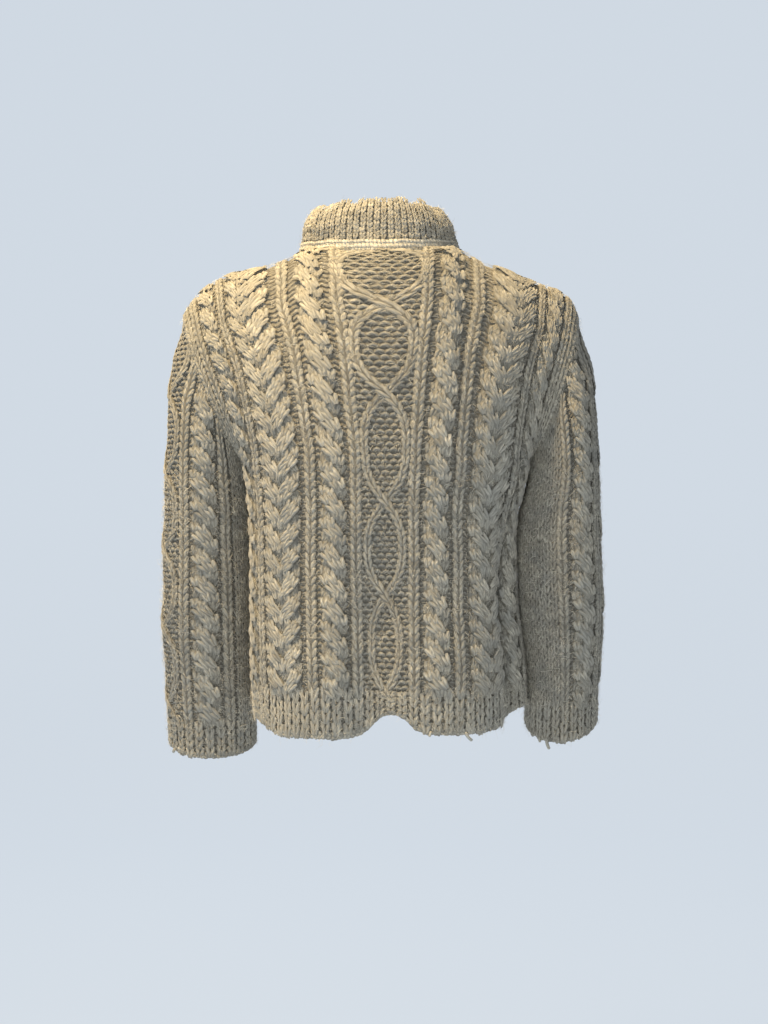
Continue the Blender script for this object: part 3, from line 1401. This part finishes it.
def add_collar(node, settings, rng):
    """The collar: a smooth roll of stitches lying along the neck edge, then ribs up to the rim."""
    cloth = collar_cloth()
    centres = COLLAR_PITCH * (np.arange(COLLAR_RIBS) + 0.5)
    rib_rows = np.arange(ROLL_ROWS, COLLAR_ROWS - 0.2)
    across, row = np.meshgrid(centres, rib_rows + 0.5)
    row = row + rng.uniform(-0.5, 0.5, COLLAR_RIBS)
    ribs = [stitches(across, row, 0.9, 0.0, 7.0, 1.9, rng, 1.5)]
    across, row = np.meshgrid(centres - 0.5 * COLLAR_PITCH, rib_rows + 0.35)
    purl = [stitches(across, row, -2.6, 0.0, 5.0, 1.3, rng)]
    ring = np.arange(0.0, COLLAR_RIBS * COLLAR_PITCH, 5.2)
    roll = []
    for k, (row, lift) in enumerate(ROLL):
        s = stitches(ring + 1.9 * k, row, lift, 1.5, 7.4, 2.6, rng)
        roll.append(s._replace(long=s.wide, tone=ROLL_TONE * s.tone))
    yarn = knitted(cloth, roll, purl, ribs)
    fuzz = Fuzz(settings.nap_count // 5, 8.0, 0.0, COLLAR_ROWS)
    material = yarn_of("collar_yarn", settings)
    add_cloth(node, cloth, (90, 16), yarn, material, fuzz, settings, rng)


# ---- the stage -------------------------------------------------------------------------------
CAMERA_PLACE = (0.0012, 2.0, -0.30)
CAMERA_LENS = 39.06
FLOOR_HEIGHT = -1.15

# Soft lamps: where each is, where it points, its size, strength and colour.
Lamp = namedtuple("Lamp", "name place aim size power colour")
LAMPS = (
    Lamp("key", (0.55, 0.47, 1.12), (0.08, 0.0, -0.10), 0.42, 44.0, (1.0, 0.76, 0.42)),
    Lamp("fill", (0.5, 2.5, -0.2), (0.0, 0.0, -0.45), 1.6, 24.5, (0.94, 0.975, 0.97)),
    Lamp("front", (0.4, -1.9, 0.9), (0.0, 0.0, -0.25), 1.4, 16.0, (1.0, 0.98, 0.95)),
)


def aim(thing, place_at, target):
    """Stands a lamp or camera at a place and turns it to look at a target."""
    thing.location = place_at
    look = np.array(target) - np.array(place_at)
    yaw = np.arctan2(look[1], look[0]) - np.pi / 2
    pitch = np.arctan2(look[2], np.hypot(look[0], look[1]))
    thing.rotation_euler = (np.pi / 2 + pitch, 0.0, yaw)


def sweep_mesh():
    """A floor that curves up into a wall behind the garment: one profile drawn along X."""
    turn = np.linspace(0.0, np.pi / 2, 13)
    near, radius, depth, top, half = 3.4, 0.9, 3.2, 2.6, 4.5
    y = np.concatenate([[near, 0.0], -depth + radius - radius * np.sin(turn), [-depth]])
    z = np.concatenate([[0.0, 0.0], radius - radius * np.cos(turn), [top]])
    x = np.linspace(-half, half, 3)
    grid = np.stack(np.broadcast_arrays(x[None, :], y[:, None], z[:, None] + FLOOR_HEIGHT), axis=-1)
    return mesh_from("sweep", grid.reshape(-1, 3), grid_faces(1, len(y), 3))


def stage_material(name, colour):
    """Pale paper: even, matt, and a little light of its own so that it stays level."""
    nodes = Nodes(name)
    nodes.set({"Base Color": rgba(colour, 0.12), "Roughness": 0.95, "Specular IOR Level": 0.0})
    nodes.set({"Emission Color": rgba(colour), "Emission Strength": 0.93})
    return nodes.material


def stand(name, data):
    """A new object in the scene."""
    thing = bpy.data.objects.new(name, data)
    bpy.context.scene.collection.objects.link(thing)
    return thing


def add_sweep(settings):
    """The floor and the wall behind."""
    sweep = stand("sweep", sweep_mesh())
    sweep.data.materials.append(stage_material("paper", settings.paper))


def add_lamps():
    """The soft round lamps."""
    for lamp in LAMPS:
        data = bpy.data.lights.new(lamp.name, "AREA")
        data.shape = "DISK"
        data.size = lamp.size
        data.energy = lamp.power
        data.color = lamp.colour
        aim(stand(lamp.name, data), lamp.place, lamp.aim)


def add_world():
    """A weak blue-grey light from all round."""
    world = bpy.data.worlds.new("studio")
    world.use_nodes = True
    background = world.node_tree.nodes["Background"]
    background.inputs["Color"].default_value = (0.72, 0.80, 0.90, 1.0)
    background.inputs["Strength"].default_value = 0.22
    bpy.context.scene.world = world


def add_camera():
    """A level camera that looks at the back of the garment."""
    camera = stand("camera", bpy.data.cameras.new("camera"))
    camera.data.sensor_fit = "VERTICAL"
    camera.data.sensor_height = 24.0
    camera.data.lens = CAMERA_LENS
    aim(camera, CAMERA_PLACE, (CAMERA_PLACE[0], 0.0, CAMERA_PLACE[2]))
    bpy.context.scene.camera = camera


# ---- the add-on ------------------------------------------------------------------------------
def colour_property(name, text, value):
    """A colour the user may change."""
    return bpy.props.FloatVectorProperty(
        name=name, description=text, subtype="COLOR", size=3, min=0.0, max=1.0, default=value
    )


class PulloverSettings(bpy.types.PropertyGroup):
    """Colours and nap of the pullover, and the colour behind it."""

    light_wool: colour_property("Light wool", "Colour of the yarn's pale hairs", (0.775, 0.712, 0.575))
    dark_wool: colour_property("Dark wool", "Colour of the yarn's darker hairs", (0.25, 0.23, 0.19))
    grey_wool: colour_property("Grey wool", "Colour of the yarn's grey patches", (0.385, 0.375, 0.333))
    paper: colour_property("Paper", "Colour of the floor and backdrop", (0.64, 0.705, 0.78))
    nap_count: bpy.props.IntProperty(
        name="Nap", description="Loose hairs on each panel", default=15000, min=0, max=20000
    )


def settings_of(context):
    """The pullover's settings in this scene."""
    return context.scene.pullover


class OBJECT_OT_pullover_panels(bpy.types.Operator):
    """Knit the back and front panels"""

    bl_idname = "object.pullover_panels"
    bl_label = "Knit panels"

    def execute(self, context):
        settings = settings_of(context)
        add_panel("back", BACK, settings, np.random.default_rng(SEED))
        add_panel("front", FRONT, settings, np.random.default_rng(SEED + 1))
        return {"FINISHED"}


class OBJECT_OT_pullover_hem(bpy.types.Operator):
    """Knit the rib bands at the foot of the panels"""

    bl_idname = "object.pullover_hem"
    bl_label = "Knit hem bands"

    def execute(self, context):
        settings = settings_of(context)
        add_hem("hem_band_back", BACK, settings, np.random.default_rng(SEED + 2))
        add_hem("hem_band_front", FRONT, settings, np.random.default_rng(SEED + 3))
        return {"FINISHED"}


class OBJECT_OT_pullover_sleeves(bpy.types.Operator):
    """Knit both sleeves"""

    bl_idname = "object.pullover_sleeves"
    bl_label = "Knit sleeves"

    def execute(self, context):
        settings = settings_of(context)
        add_sleeve("sleeve_left", LEFT, settings, np.random.default_rng(SEED + 4))
        add_sleeve("sleeve_right", RIGHT, settings, np.random.default_rng(SEED + 5))
        return {"FINISHED"}


class OBJECT_OT_pullover_cuffs(bpy.types.Operator):
    """Knit the rib bands at the ends of the sleeves"""

    bl_idname = "object.pullover_cuffs"
    bl_label = "Knit cuffs"

    def execute(self, context):
        settings = settings_of(context)
        add_cuff("cuff_left", LEFT, settings, np.random.default_rng(SEED + 6))
        add_cuff("cuff_right", RIGHT, settings, np.random.default_rng(SEED + 7))
        return {"FINISHED"}


class OBJECT_OT_pullover_collar(bpy.types.Operator):
    """Knit the ribbed mock neck"""

    bl_idname = "object.pullover_collar"
    bl_label = "Knit collar"

    def execute(self, context):
        add_collar("collar", settings_of(context), np.random.default_rng(SEED + 8))
        return {"FINISHED"}


class OBJECT_OT_pullover_stage(bpy.types.Operator):
    """Set up the floor, backdrop, lamps and camera"""

    bl_idname = "object.pullover_stage"
    bl_label = "Set the stage"

    def execute(self, context):
        add_sweep(settings_of(context))
        add_lamps()
        add_world()
        add_camera()
        context.scene.view_settings.view_transform = "Standard"
        return {"FINISHED"}


class VIEW3D_PT_pullover(bpy.types.Panel):
    """The pullover's panel in the sidebar"""

    bl_label = "Cable knit pullover"
    bl_idname = "VIEW3D_PT_pullover"
    bl_space_type = "VIEW_3D"
    bl_region_type = "UI"
    bl_category = "Pullover"

    def draw(self, context):
        settings = settings_of(context)
        for name in PulloverSettings.__annotations__:
            self.layout.prop(settings, name)
        for operator in OPERATORS:
            self.layout.operator(operator.bl_idname)


OPERATORS = (
    OBJECT_OT_pullover_panels,
    OBJECT_OT_pullover_hem,
    OBJECT_OT_pullover_sleeves,
    OBJECT_OT_pullover_cuffs,
    OBJECT_OT_pullover_collar,
    OBJECT_OT_pullover_stage,
)
CLASSES = (PulloverSettings, *OPERATORS, VIEW3D_PT_pullover)


def register():
    for made in CLASSES:
        bpy.utils.register_class(made)
    bpy.types.Scene.pullover = bpy.props.PointerProperty(type=PulloverSettings)


def unregister():
    del bpy.types.Scene.pullover
    for made in reversed(CLASSES):
        bpy.utils.unregister_class(made)


def main():
    """Builds every piece and the stage."""
    register()
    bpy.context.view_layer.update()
    bpy.ops.object.pullover_panels()
    bpy.ops.object.pullover_hem()
    bpy.ops.object.pullover_sleeves()
    bpy.ops.object.pullover_cuffs()
    bpy.ops.object.pullover_collar()
    bpy.ops.object.pullover_stage()


if __name__ == "__main__":
    main()
